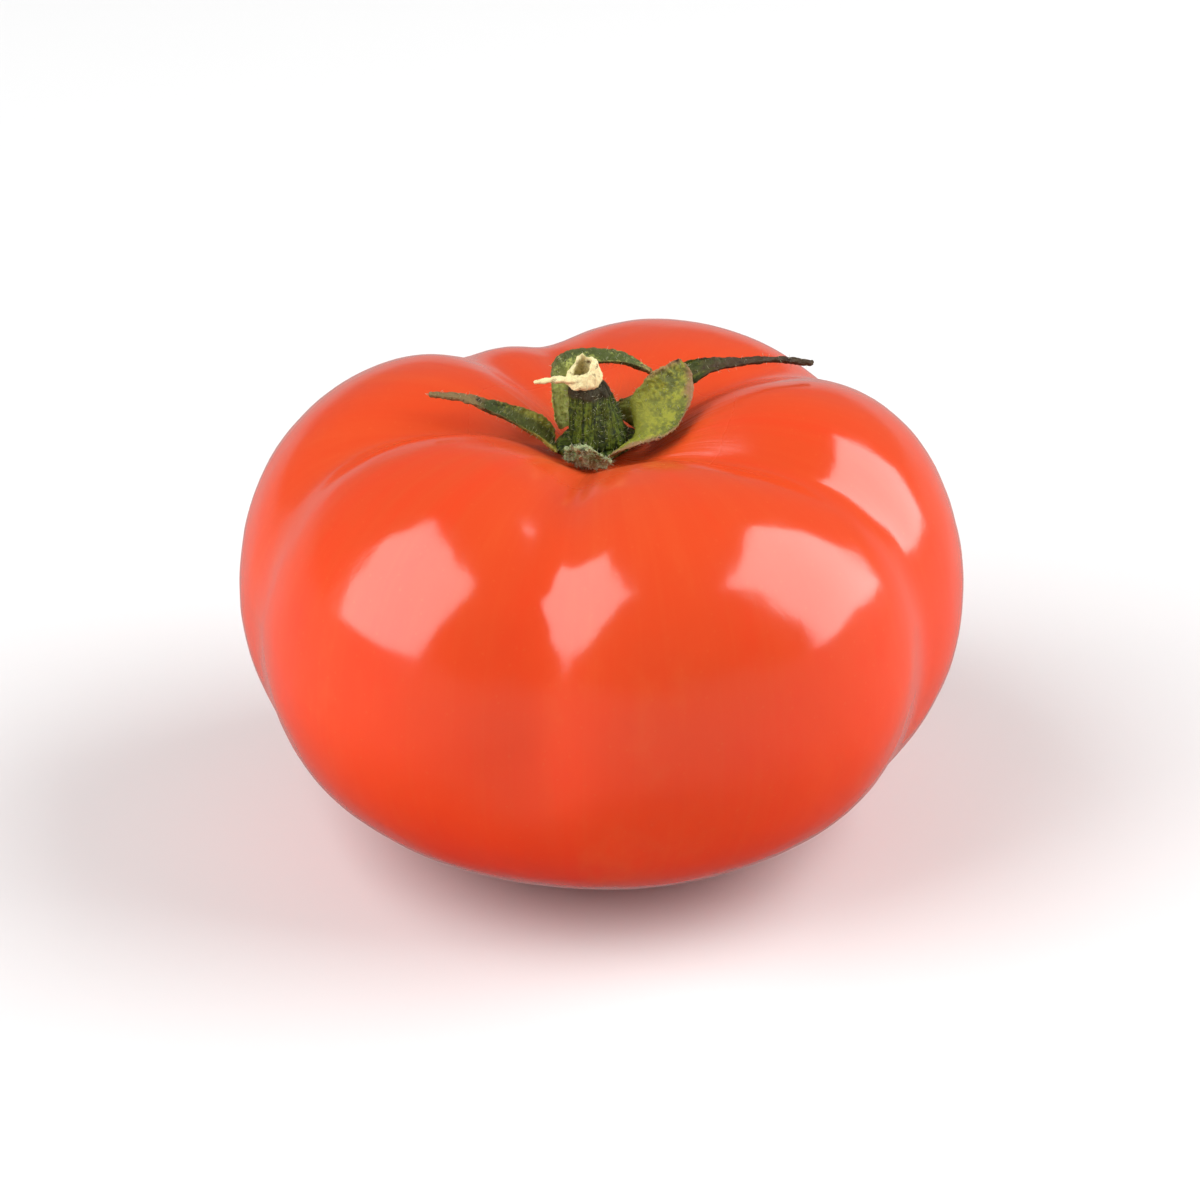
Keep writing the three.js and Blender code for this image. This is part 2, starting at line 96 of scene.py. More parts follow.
class Shader:
    """A material under construction, with short ways to add and join its nodes."""

    def __init__(self, name: str) -> None:
        """Starts an empty material with one surface shader.

        Args:
            name: the material's name.
        """
        self.material = bpy.data.materials.new(name)
        self.material.use_nodes = True
        self.tree = self.material.node_tree
        self.surface = self.tree.nodes["Principled BSDF"]
        self.coords = self.add("ShaderNodeTexCoord").outputs["Object"]

    def add(self, kind: str, **settings: object) -> bpy.types.Node:
        """Adds a node and sets its properties.

        Args:
            kind: the node's type.
            settings: its properties by name.

        Returns:
            The new node.
        """
        node = self.tree.nodes.new(kind)
        for key, value in settings.items():
            setattr(node, key, value)
        return node

    def put(self, socket: bpy.types.NodeSocket, value: object) -> None:
        """Feeds a socket with another node's output, a colour or a number.

        Args:
            socket: the input to feed.
            value: an output socket, three or four numbers, or one number.
        """
        if isinstance(value, bpy.types.NodeSocket):
            self.tree.links.new(value, socket)
        elif isinstance(value, (tuple, list)) and len(value) == 3 and socket.type == "RGBA":
            socket.default_value = (*value, 1.0)
        else:
            socket.default_value = value

    def math(self, operation: str, *values: object) -> bpy.types.NodeSocket:
        """One step of arithmetic.

        Args:
            operation: the step's name.
            values: the numbers or outputs that it works on.

        Returns:
            The output with the result.
        """
        node = self.add("ShaderNodeMath", operation=operation)
        for socket, value in zip(node.inputs, values):
            self.put(socket, value)
        return node.outputs[0]

    def vector(self, operation: str, *values: object) -> bpy.types.Node:
        """One step of vector arithmetic.

        Args:
            operation: the step's name.
            values: the vectors or outputs that it works on.

        Returns:
            The node that does it.
        """
        node = self.add("ShaderNodeVectorMath", operation=operation)
        for socket, value in zip(node.inputs, values):
            self.put(socket, value)
        return node

    def scaled(self, value: object, factor: object) -> bpy.types.NodeSocket:
        """A number or output times a factor."""
        return self.math("MULTIPLY", value, factor)

    def ragged(self, value: object, pattern: object, amount: float) -> bpy.types.NodeSocket:
        """A number or output pushed up and down by a pattern whose middle is 0.5."""
        return self.math("MULTIPLY_ADD", self.math("SUBTRACT", pattern, 0.5), amount, value)

    def ramp(self, value: object, low: float, high: float) -> bpy.types.NodeSocket:
        """Turns the stretch from low to high into 0 to 1, eased at both ends, and clamps it.

        Args:
            value: the number or output to read.
            low: where the result is 0.
            high: where the result is 1; it may be below low.

        Returns:
            The output with the result.
        """
        node = self.add("ShaderNodeMapRange", interpolation_type="SMOOTHSTEP")
        self.put(node.inputs["Value"], value)
        node.inputs["From Min"].default_value = low
        node.inputs["From Max"].default_value = high
        return node.outputs["Result"]

    def noise(
        self, scale: float, detail: float = 3.0, rough: float = 0.5, at: object = None
    ) -> bpy.types.NodeSocket:
        """Cloudy noise from 0 to 1.

        Args:
            scale: features per unit of the coordinates, which is per metre by default.
            detail: how many finer layers are added.
            rough: how strong the finer layers are.
            at: the coordinates to read it at, or nothing for the object's own.

        Returns:
            The output with the noise.
        """
        node = self.add("ShaderNodeTexNoise")
        self.put(node.inputs["Vector"], self.coords if at is None else at)
        node.inputs["Scale"].default_value = scale
        node.inputs["Detail"].default_value = detail
        node.inputs["Roughness"].default_value = rough
        return node.outputs["Fac"]

    def cells(self, scale: float, measure: Cells = Cells.TO_POINT) -> bpy.types.NodeSocket:
        """A pattern of scattered cells.

        Args:
            scale: cells per metre.
            measure: what it measures at each place.

        Returns:
            The output with the distance.
        """
        node = self.add("ShaderNodeTexVoronoi", feature=measure.value)
        self.put(node.inputs["Vector"], self.coords)
        node.inputs["Scale"].default_value = scale
        return node.outputs["Distance"]

    def mix(self, share: object, under: object, over: object) -> bpy.types.NodeSocket:
        """Lays one colour over another.

        Args:
            share: how much of the upper colour shows, 0 to 1.
            under: the lower colour or output.
            over: the upper colour or output.

        Returns:
            The output with the mixed colour.
        """
        node = self.add("ShaderNodeMix", data_type="RGBA")
        self.put(node.inputs["Factor"], share)
        self.put(node.inputs[6], under)
        self.put(node.inputs[7], over)
        return node.outputs[2]

    def tint(self, share: object, most: float, under: object, over: object) -> bpy.types.NodeSocket:
        """Lays one colour over another, with the share held down to a most."""
        return self.mix(self.scaled(share, most), under, over)

    def split(self) -> bpy.types.NodeOutputs:
        """The X, Y and Z of the object's own coordinates.

        Returns:
            The three outputs.
        """
        node = self.add("ShaderNodeSeparateXYZ")
        self.put(node.inputs[0], self.coords)
        return node.outputs

    def attribute(self, name: str) -> bpy.types.NodeSocket:
        """A number stored on the mesh's points."""
        return self.add("ShaderNodeAttribute", attribute_name=name).outputs["Fac"]

    def meridian(self, around: float, along: float) -> bpy.types.NodeSocket:
        """Coordinates that stretch a pattern along the lines from stem end to blossom end.

        Args:
            around: how fast the pattern changes round the axis.
            along: how fast it changes with height, per metre.

        Returns:
            The output with the stretched coordinates.
        """
        flat = self.vector("MULTIPLY", self.coords, (1.0, 1.0, 0.0)).outputs[0]
        turned = self.vector("NORMALIZE", flat).outputs[0]
        ring = self.vector("SCALE", turned)
        ring.inputs["Scale"].default_value = around
        rise = self.vector("MULTIPLY", self.coords, (0.0, 0.0, along)).outputs[0]
        return self.vector("ADD", ring.outputs[0], rise).outputs[0]

    def bump(self, layers: Sequence[tuple[object, float]]) -> None:
        """Stacks height patterns on the surface.

        Args:
            layers: pairs of a height output and how deep it is, in metres.
        """
        normal = None
        for height, depth in layers:
            node = self.add("ShaderNodeBump")
            node.inputs["Strength"].default_value = 1.0
            node.inputs["Distance"].default_value = depth
            self.put(node.inputs["Height"], height)
            if normal is not None:
                self.put(node.inputs["Normal"], normal)
            normal = node.outputs["Normal"]
        self.put(self.surface.inputs["Normal"], normal)

    def set(self, **values: object) -> None:
        """Sets the surface shader's inputs, named with underscores for spaces."""
        for key, value in values.items():
            self.put(self.surface.inputs[key.replace("_", " ")], value)


# ---------------------------------------------------------------- finishes


@dataclass(frozen=True)
class SkinFinish:
    """Glossy, waxy tomato skin: orange on the shoulders, redder towards the blossom end, with
    painted light in its height bands.
    """

    # The height bands are partly the skin's own colour and partly painted light: the shoulders are
    # painted darker and the belly a brighter red, to even out how the light falls.
    shoulder: Colour = (0.61, 0.054, 0.0090)
    side: Colour = (0.72, 0.047, 0.0060)
    base: Colour = (0.72, 0.022, 0.0025)
    pale: Colour = (0.66, 0.120, 0.026)
    cork: Colour = (0.20, 0.10, 0.038)
    roughness: float = 0.155
    base_band: tuple[float, float] = (0.006, 0.034)
    shoulder_band: tuple[float, float] = (0.034, 0.064)
    band_drift: float = 0.016
    blush_radii: tuple[float, float] = (0.018, 0.007)
    top_heights: tuple[float, float] = (0.040, 0.050)
    scar_radii: tuple[float, float] = (0.0036, 0.0028)
    scar_heights: tuple[float, float] = (0.004, 0.0015)
    scar_raggedness: float = 0.0016
    dull_radii: tuple[float, float] = (0.024, 0.013)
    pleat_radii: tuple[float, float] = (0.020, 0.008)
    pleat_heights: tuple[float, float] = (0.040, 0.048)

    def build(self) -> bpy.types.Material:
        """Mixes the skin.

        Returns:
            The skin's material.
        """
        s = Shader("tomato_skin")
        x, y, z = s.split()[:3]
        radius = s.math("SQRT", s.math("ADD", s.scaled(x, x), s.scaled(y, y)))
        ragged = s.math("MULTIPLY_ADD", s.noise(900.0, 3.0), self.scar_raggedness, radius)
        scar = s.scaled(s.ramp(ragged, *self.scar_radii), s.ramp(z, *self.scar_heights))
        s.set(Base_Color=self.paint(s, radius, z, scar))
        gloss = s.math("MULTIPLY_ADD", s.noise(160.0, 4.0), 0.06, self.roughness - 0.03)
        gloss = s.math("MULTIPLY_ADD", s.ramp(radius, *self.dull_radii), 0.14, gloss)
        s.set(Roughness=s.math("MULTIPLY_ADD", scar, 0.45, gloss), IOR=1.54)
        s.set(Subsurface_Weight=0.1, Subsurface_Radius=(1.0, 0.3, 0.15), Subsurface_Scale=0.003)
        pleats = s.noise(1.0, 3.0, 0.55, s.meridian(11.0, 6.0))
        pleats = s.scaled(pleats, s.ramp(radius, *self.pleat_radii))
        layers = [
            (s.noise(46.0, 2.0), 0.0005),
            (s.scaled(pleats, s.ramp(z, *self.pleat_heights)), 0.00035),
            (s.noise(330.0, 3.0), 0.00003),
            (s.noise(2300.0, 2.0), 0.000006),
            (s.scaled(s.noise(1500.0, 4.0, 0.7), scar), 0.0005),
        ]
        s.bump(layers)
        return s.material

    def paint(self, s: Shader, radius: object, z: object, scar: object) -> bpy.types.NodeSocket:
        """Mixes the skin's colour.

        Args:
            s: the material under construction.
            radius: the output with the distance from the axis.
            z: the output with the height.
            scar: the output that is 1 on the blossom scar.

        Returns:
            The output with the colour.
        """
        # Bands by height, partly the skin's own tone and partly painted light: darker shoulders,
        # brighter red belly.
        drift = s.math("MULTIPLY_ADD", s.noise(28.0, 2.0), self.band_drift, z)
        colour = s.mix(s.ramp(drift, *self.base_band), self.base, self.side)
        colour = s.mix(s.ramp(drift, *self.shoulder_band), colour, self.shoulder)
        patches = s.noise(1.0, 5.0, 0.62, s.meridian(3.2, 45.0))
        colour = s.tint(s.ramp(patches, 0.5, 0.8), 0.28, colour, self.pale)
        colour = s.tint(s.ramp(patches, 0.5, 0.2), 0.35, colour, self.base)
        fibres = s.noise(1.0, 3.0, 0.5, s.meridian(42.0, 30.0))
        colour = s.tint(s.ramp(fibres, 0.45, 0.75), 0.045, colour, self.pale)
        blush = s.scaled(s.ramp(radius, *self.blush_radii), s.ramp(z, *self.top_heights))
        colour = s.tint(blush, 0.3, colour, self.pale)
        colour = s.tint(s.ramp(s.cells(620.0), 0.16, 0.04), 0.14, colour, self.pale)
        return s.mix(scar, colour, self.cork)


@dataclass(frozen=True)
class LeafFinish:
    """A sepal that has begun to dry: green blade, paler rib, brown margins and tip."""

    name: str
    dark: Colour = (0.043, 0.056, 0.009)
    light: Colour = (0.25, 0.26, 0.036)
    dry: Colour = (0.17, 0.085, 0.032)
    burnt: Colour = (0.035, 0.015, 0.007)
    light_share: float = 0.5
    dry_from: float = 0.72
    margin_dryness: float = 0.7
    # How far painted light lifts the foot, which the stub shades, towards the light colour.
    foot_painted_light: float = 0.3
    rib_light: float = 0.35
    # How dark the painted shade in the fold along the rib is, on the near half of the blade.
    fold_shade: float = 0.0

    def build(self) -> bpy.types.Material:
        """Mixes the blade, which reads the run, margin and rib stored on the points.

        Returns:
            The blade's material.
        """
        s = Shader(self.name)
        run, margin, rib = s.attribute("run"), s.attribute("margin"), s.attribute("rib")
        blotch = s.noise(420.0, 4.0, 0.6)
        grain = s.noise(1900.0, 4.0, 0.65)
        shade = s.ragged(blotch, grain, 0.9)
        dark_to = 0.75 - 0.5 * self.light_share
        colour = s.mix(s.ramp(shade, dark_to, dark_to + 0.3), self.dark, self.light)
        colour = s.tint(s.ramp(rib, 0.5, 1.0), self.rib_light, colour, self.light)
        # Painted light: the foot, in the stub's shade, is lifted towards the light colour.
        colour = s.tint(s.ramp(run, 0.5, 0.15), self.foot_painted_light, colour, self.light)
        # Painted shade in the fold along the rib, on the near half of the blade.
        fold_shade_mask = s.scaled(s.ramp(rib, 0.25, 0.6), s.ramp(run, 0.62, 0.3))
        colour = s.tint(fold_shade_mask, self.fold_shade, colour, self.dark)
        edge = s.scaled(s.ramp(s.ragged(margin, blotch, 0.9), 0.45, 0.95), self.margin_dryness)
        colour = s.mix(edge, colour, self.dry)
        tip = s.ragged(run, blotch, 0.5)
        colour = s.mix(s.ramp(tip, self.dry_from, self.dry_from + 0.22), colour, self.dry)
        old = s.math("MAXIMUM", edge, s.ramp(tip, self.dry_from - 0.1, self.dry_from + 0.2))
        spots = s.scaled(s.ramp(s.noise(760.0, 3.0, 0.6), 0.57, 0.66), old)
        colour = s.mix(spots, colour, self.burnt)
        s.set(Base_Color=colour, Roughness=s.math("MULTIPLY_ADD", grain, 0.25, 0.42), IOR=1.33)
        s.set(Subsurface_Weight=0.15, Subsurface_Radius=(0.6, 1.0, 0.2), Subsurface_Scale=0.0006)
        veins = s.cells(900.0, Cells.TO_BORDER)
        s.bump([(veins, 0.00018), (grain, 0.00022), (s.noise(5200.0, 2.0), 0.00004)])
        return s.material


@dataclass(frozen=True)
class StalkFinish:
    """The stub and disc: green, with painted shade in the fibres' creases and painted light on
    their ridges over its own mottle, and a bruised ring near the top.
    """

    top: float
    dark: Colour = (0.012, 0.022, 0.003)
    light: Colour = (0.12, 0.165, 0.013)
    bruise: Colour = (0.040, 0.032, 0.012)
    bruise_depths: tuple[float, float] = (0.0017, 0.0011)
    bruise_raggedness: float = 0.0016
    ridges: float = 7.0

    def build(self) -> bpy.types.Material:
        """Mixes the stalk.

        Returns:
            The stalk's material.
        """
        s = Shader("stalk")
        z = s.split()[2]
        fibres = s.noise(1.0, 4.0, 0.65, s.meridian(self.ridges, 120.0))
        grain = s.noise(2100.0, 4.0, 0.65)
        # Painted shade in the creases of the fibre relief and painted light on its ridges, over the
        # stalk's own mottle.
        colour = s.mix(s.ramp(s.ragged(fibres, grain, 0.7), 0.38, 0.68), self.dark, self.light)
        low, high = (self.top - depth for depth in self.bruise_depths)
        ring = s.ramp(s.ragged(z, grain, self.bruise_raggedness), low, high)
        colour = s.mix(ring, colour, self.bruise)
        s.set(Base_Color=colour, Roughness=s.math("MULTIPLY_ADD", grain, 0.25, 0.4), IOR=1.33)
        s.set(Subsurface_Weight=0.1, Subsurface_Radius=(0.6, 1.0, 0.2), Subsurface_Scale=0.0006)
        s.bump([(fibres, 0.0006), (grain, 0.0002), (s.noise(5200.0, 2.0), 0.00004)])
        return s.material


@dataclass(frozen=True)
class DryFinish:
    """Dried, fibrous tissue, pale with brown in its cracks."""

    pale: Colour = (0.86, 0.75, 0.40)
    brown: Colour = (0.16, 0.095, 0.035)
    crack_share: float = 0.55
    fibre_scales: tuple[float, float, float] = (1500.0, 1500.0, 420.0)

    def build(self) -> bpy.types.Material:
        """Mixes the dry tissue.

        Returns:
            The dry tissue's material.
        """
        s = Shader("dry_stem")
        upright = s.vector("MULTIPLY", s.coords, self.fibre_scales).outputs[0]
        fibres = s.noise(1.0, 4.0, 0.6, upright)
        pits = s.noise(1300.0, 5.0, 0.7)
        # Browner where the pitted relief is low.
        crack_brown = s.ramp(s.ragged(pits, fibres, 0.6), 0.28 + 0.4 * self.crack_share, 0.22)
        s.set(Base_Color=s.mix(crack_brown, self.pale, self.brown), Roughness=0.85, IOR=1.4)
        s.set(Subsurface_Weight=0.1, Subsurface_Radius=(1.0, 0.7, 0.4), Subsurface_Scale=0.0005)
        s.bump([(fibres, 0.00035), (pits, 0.00035)])
        return s.material


@dataclass(frozen=True)
class HairFinish:
    """Short glassy plant hairs."""

    root: Colour = (0.30, 0.32, 0.14)
    tip: Colour = (0.52, 0.52, 0.34)

    def build(self) -> bpy.types.Material:
        """Mixes the hairs, paler towards the tips, by the run stored on the points.

        Returns:
            The hairs' material.
        """
        s = Shader("plant_hair")
        tone = s.mix(s.attribute("run"), self.root, self.tip)
        s.set(Base_Color=tone, Roughness=0.35, IOR=1.45, Sheen_Weight=0.3)
        return s.material


# ---------------------------------------------------------------- modelling helpers


def only(piece: bpy.types.Object) -> None:
    """Makes a piece the one selected and active object.

    Args:
        piece: the piece to select.
    """
    bpy.ops.object.select_all(action="DESELECT")
    piece.hide_set(False)
    piece.select_set(True)
    bpy.context.view_layer.objects.active = piece


def copy_of_node(node: str, name: str) -> bpy.types.Object:
    """A copy of a frame node with its loose triangles merged into one skin of quads.

    Args:
        node: the frame node's name.
        name: the new piece's name.

    Returns:
        The new piece, active and selected, in object mode.
    """
    only(frame["nodes"][node])
    bpy.ops.object.duplicate(linked=False)
    piece = bpy.context.view_layer.objects.active
    piece.name = name
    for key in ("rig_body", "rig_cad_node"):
        if key in piece:
            del piece[key]
    piece.parent = None
    piece.matrix_world = Matrix.Identity(4)
    piece.data.materials.clear()
    bpy.ops.object.mode_set(mode="EDIT")
    bpy.ops.mesh.select_all(action="SELECT")
    bpy.ops.mesh.remove_doubles(threshold=MERGE_DISTANCE)
    bpy.ops.mesh.tris_convert_to_quads(face_threshold=math.pi, shape_threshold=math.pi)
    bpy.ops.mesh.normals_make_consistent(inside=False)
    bpy.ops.mesh.select_all(action="DESELECT")
    bpy.ops.object.mode_set(mode="OBJECT")
    if piece.data.has_custom_normals:
        bpy.ops.mesh.customdata_custom_splitnormals_clear()
    return piece


def apply_all(piece: bpy.types.Object) -> None:
    """Applies every modifier on a piece, in order.

    Args:
        piece: the piece to work on.
    """
    only(piece)
    for modifier in list(piece.modifiers):
        bpy.ops.object.modifier_apply(modifier=modifier.name)


def subdivide(piece: bpy.types.Object, levels: int) -> None:
    """Rounds a piece by subdivision.

    Args:
        piece: the piece to round.
        levels: how many times each face is divided.
    """
    rounding = piece.modifiers.new("rounding", "SUBSURF")
    rounding.levels = rounding.render_levels = levels
    apply_all(piece)


def displace(
    piece: bpy.types.Object, size: float, depth: float, group: str = "", middle: float = 0.5
) -> None:
    """Roughens a piece with cloudy relief.

    Args:
        piece: the piece to roughen.
        size: how large the lumps are, in metres.
        depth: full depth of the relief, in metres.
        group: the vertex group that limits it, or nothing for the whole piece.
        middle: the cloud level that leaves the surface where it is.
    """
    clouds = bpy.data.textures.new(f"{piece.name}_relief", "CLOUDS")
    clouds.noise_scale = size
    clouds.noise_depth = 3
    relief = piece.modifiers.new("relief", "DISPLACE")
    relief.texture = clouds
    relief.texture_coords = "LOCAL"
    relief.strength = depth
    relief.mid_level = middle
    relief.vertex_group = group
    apply_all(piece)


def move_points(piece: bpy.types.Object, shift: Callable[[Vector, Vector], Vector]) -> None:
    """Moves each point of a piece by a rule.

    Args:
        piece: the piece to shape.
        shift: gives a point's move from its place and its normal.
    """
    moves = [shift(v.co.copy(), v.normal.copy()) for v in piece.data.vertices]
    for vertex, move in zip(piece.data.vertices, moves):
        vertex.co += move
    piece.data.update()


def finish_piece(
    piece: bpy.types.Object, material: bpy.types.Material, slot: str, *nodes: str
) -> None:
    """Dresses a piece, seats it on the frame and reports it.

    Args:
        piece: the finished piece.
        material: its material.
        slot: the record's material slot that its finish stands for; it is only logged.
        nodes: the frame nodes that it stands for.
    """
    piece.data.materials.clear()
    piece.data.materials.append(material)
    only(piece)
    bpy.ops.object.shade_smooth()
    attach(piece, "root")
    if nodes:
        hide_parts(*nodes)
    LOG.info("%s: %d faces, slot %s", piece.name, len(piece.data.polygons), slot)


# ---------------------------------------------------------------- fruit


@dataclass
class Fruit:
    """The ribbed fruit, with gentle unevenness and a puckered blossom end."""

    finish: SkinFinish = field(default_factory=SkinFinish)
    unevenness: float = 0.5 * MM
    lump_size: float = 16 * MM
    blossom_radius: float = 6.5 * MM
    blossom_height: float = 4 * MM
    blossom_depth: float = 1.3 * MM
    pleats: int = 7
    pleat_share: float = 0.18
    fill_azimuth: float = -11.0
    fill_turn: float = 9.0
    fill_height: float = 18 * MM
    fill_reach: float = 7.5 * MM
    fill_depth: float = 1.3 * MM

    def build(self) -> bpy.types.Object:
        """Makes and dresses the fruit.

        Returns:
            The finished fruit.
        """
        piece = copy_of_node("fruit", "tomato_fruit")
        subdivide(piece, 2)
        displace(piece, self.lump_size, self.unevenness, middle=1.0)
        move_points(piece, self.pucker)
        move_points(piece, self.fill)
        finish_piece(piece, self.finish.build(), "skin", "fruit")
        return piece

    def pucker(self, point: Vector, normal: Vector) -> Vector:
        """How far the blossom end is drawn in at a point.

        Args:
            point: the point's place.
            normal: the point's normal.

        Returns:
            The point's move.
        """
        radius = math.hypot(point.x, point.y)
        if point.z > self.blossom_height or radius > self.blossom_radius:
            return Vector()
        share = 0.5 + 0.5 * math.cos(math.pi * radius / self.blossom_radius)
        turn = math.atan2(point.y, point.x)
        wave = math.sin(self.pleats * turn + 1.0)
        pleat = 1.0 + self.pleat_share * wave * math.sin(math.pi * share)
        return Vector((0.0, 0.0, self.blossom_depth * share * pleat))

    def fill(self, point: Vector, normal: Vector) -> Vector:
        """Rounds out the front furrow where it runs out on the belly.

        Args:
            point: the point's place.
            normal: the point's normal.

        Returns:
            The point's move.
        """
        azimuth = math.degrees(math.atan2(point.x, -point.y))
        aside = angle_between(azimuth, self.fill_azimuth) / self.fill_turn
        above = (point.z - self.fill_height) / self.fill_reach
        return normal * self.fill_depth * math.exp(-aside * aside - above * above)


# ---------------------------------------------------------------- calyx


@dataclass(frozen=True)
class Pull:
    """A soft pull on part of a blade, in millimetres."""

    place: tuple[float, float, float]
    move: tuple[float, float, float]
    reach: float

    def at(self, point: Vector) -> Vector:
        """How far this pull moves a point.

        Args:
            point: the point's place.

        Returns:
            The point's move.
        """
        near = 1.0 - (point - Vector(self.place) * MM).length / (self.reach * MM)
        if near <= 0.0:
            return Vector()
        return Vector(self.move) * MM * near * near * (3.0 - 2.0 * near)


@dataclass
class Sepal:
    """One leaf of the calyx, a thin crinkled blade."""

    node: str
    finish: LeafFinish
    pulls: tuple[Pull, ...] = ()
    crinkle: float = 0.35 * MM
    waviness: float = 0.5 * MM
    raggedness: float = 0.4 * MM
    wave_size: float = 2.2 * MM
    notch_sizes: tuple[float, float] = (0.7 * MM, 0.3 * MM)
    crinkle_size: float = 0.9 * MM
    levels: int = 3

    def build(self) -> bpy.types.Object:
        """Makes and dresses the sepal.

        Returns:
            The finished sepal.
        """
        piece = copy_of_node(self.node, f"{self.node}_blade")
        self.mark_points(piece)
        subdivide(piece, self.levels)
        for pull in self.pulls:
            move_points(piece, lambda point, normal: pull.at(point))
        self.weigh_margin(piece)
        coarse, fine = self.notch_sizes
        displace(piece, self.wave_size, self.waviness, group="margin")
        displace(piece, coarse, self.raggedness, group="margin")
        displace(piece, fine, 0.5 * self.raggedness, group="margin")
        displace(piece, self.crinkle_size, self.crinkle)
        finish_piece(piece, self.finish.build(), "sepal", self.node)
        return piece

    def mark_points(self, piece: bpy.types.Object) -> None:
        """Stores each point's run from foot to tip, nearness to the margin and nearness to the rib.

        Args:
            piece: the blade before it is subdivided; many edges meet in its foot and in its tip.
        """
        mesh = bmesh.new()
        mesh.from_mesh(piece.data)
        mesh.verts.ensure_lookup_table()
        poles = sorted(mesh.verts, key=lambda v: -len(v.link_edges))[:2]
        foot = min(poles, key=lambda v: math.hypot(v.co.x, v.co.y))
        rings = self.rings_from(foot)
        run: dict[int, float] = {}
        margin: dict[int, float] = {}
        for step, ring in enumerate(rings):
            middle = sum((v.co for v in ring), Vector()) / len(ring)
            reach = max((v.co - middle).length for v in ring) or 1.0
            for v in ring:
                run[v.index] = step / (len(rings) - 1)
                margin[v.index] = (v.co - middle).length / reach
        rib = {index: 1.0 - near for index, near in margin.items()}
        for name, numbers in (("run", run), ("margin", margin), ("rib", rib)):
            attribute = piece.data.attributes.new(name, "FLOAT", "POINT")
            for index, number in numbers.items():
                attribute.data[index].value = number
        mesh.free()

    def rings_from(self, foot: bmesh.types.BMVert) -> list[list[bmesh.types.BMVert]]:
        """Sorts a blade's points by how many edges away from its foot they are.

        Args:
            foot: the point at the foot.

        Returns:
            The points in rings, from the foot alone to the tip.
        """
        rings = [[foot]]
        reached = {foot}
        while rings[-1]:
            ring = []
            for vertex in rings[-1]:
                for edge in vertex.link_edges:
                    other = edge.other_vert(vertex)
                    if other not in reached:
                        reached.add(other)
                        ring.append(other)
            rings.append(ring)
        return rings[:-1]

    def weigh_margin(self, piece: bpy.types.Object) -> None:
        """Copies the margin mark to a vertex group that limits the waviness.

        Args:
            piece: the subdivided blade.
        """
        group = piece.vertex_groups.new(name="margin")
        for index, item in enumerate(piece.data.attributes["margin"].data):
            group.add([index], max(0.0, min(1.0, item.value)) ** 2, "REPLACE")


@dataclass
class Disc:
    """The disc that the sepals grow from, with a lobe under each of them."""

    finish: StalkFinish
    lump_size: float = 0.8 * MM
    lump_depth: float = 0.35 * MM
    spread: float = 0.9 * MM
    sink: float = 0.4 * MM
    feet: tuple[float, ...] = (-84.0, -24.0, 124.0, 216.0)
    foot_narrowing: float = 2.5
    lobe_rise: float = 0.25 * MM
    drawn_in: float = 1.7 * MM
    drawn_azimuth: float = 52.0
    drawn_narrowing: float = 1.6
    low: Vector = field(init=False)
    high: Vector = field(init=False)

    def build(self) -> bpy.types.Object:
        """Makes and dresses the disc.

        Returns:
            The finished disc.
        """
        piece = copy_of_node("calyx_disc", "calyx_base")
        subdivide(piece, 3)
        self.low, self.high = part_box("calyx_disc")
        move_points(piece, self.grow)
        displace(piece, self.lump_size, self.lump_depth)
        finish_piece(piece, self.finish.build(), "stalk", "calyx_disc")
        return piece

    def grow(self, point: Vector, normal: Vector) -> Vector:
        """Spreads the rim out into each sepal's foot and sinks the underside onto the skin.

        Args:
            point: the point's place.
            normal: the point's normal.

        Returns:
            The point's move.
        """
        azimuth = math.degrees(math.atan2(point.x, -point.y))
        nearest = min(angle_between(azimuth, foot) for foot in self.feet)
        lobe = 0.35 + 0.65 * self.swell(nearest * self.foot_narrowing)
        beside = angle_between(azimuth, self.drawn_azimuth)
        cut = self.drawn_in * self.swell(beside * self.drawn_narrowing)
        out = Vector((point.x, point.y, 0.0))
        rim = min(1.0, out.length / (self.high.x * 0.9)) ** 3
        move = out.normalized() * (self.spread * lobe - cut) * rim if out.length > 0 else Vector()
        depth = (self.high.z - point.z) / (self.high.z - self.low.z)
        return move + Vector((0.0, 0.0, -self.sink * depth + self.lobe_rise * lobe * rim))

    @staticmethod
    def swell(angle: float) -> float:
        """A round swelling: 1 at 0 degrees, 0 from 90 on."""
        return max(0.0, math.cos(math.radians(min(90.0, angle))))


# ---------------------------------------------------------------- stem


@dataclass
class Stub:
    """The green stub of the stem, with deep ridges that run up it."""

    finish: StalkFinish
    ridges: int = 6
    ridge_depth: float = 0.18 * MM
    ridge_wander: float = 0.5
    foot_flare: float = 0.15 * MM
    foot_sink: float = 0.4 * MM
    lumps: tuple[tuple[float, float], ...] = ((1.0 * MM, 0.45 * MM), (0.35 * MM, 0.12 * MM))
    low: Vector = field(init=False)
    high: Vector = field(init=False)

    def build(self) -> bpy.types.Object:
        """Makes and dresses the stub.

        Returns:
            The finished stub.
        """
        piece = copy_of_node("stem_stub", "stem_stub_ribbed")
        self.low, self.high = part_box("stem_stub")
        subdivide(piece, 3)
        move_points(piece, self.shape)
        for size, depth in self.lumps:
            displace(piece, size, depth)
        finish_piece(piece, self.finish.build(), "stalk", "stem_stub")
        return piece

    def shape(self, point: Vector, normal: Vector) -> Vector:
        """Raises the ridges and spreads the foot onto the disc.

        Args:
            point: the point's place.
            normal: the point's normal.

        Returns:
            The point's move.
        """
        height = (point.z - self.low.z) / (self.high.z - self.low.z)
        turn = math.atan2(point.y, point.x)
        wander = self.ridge_wander * noise.noise(point * 300.0)
        ridge = math.sin(self.ridges * turn + wander + 1.4 * height)
        out = Vector((normal.x, normal.y, 0.0))
        flare = self.foot_flare * max(0.0, 1.0 - height * 3.0) ** 2
        sink = self.foot_sink * max(0.0, 1.0 - height * 6.0)
        return out * (ridge * self.ridge_depth + flare) - Vector((0.0, 0.0, sink))


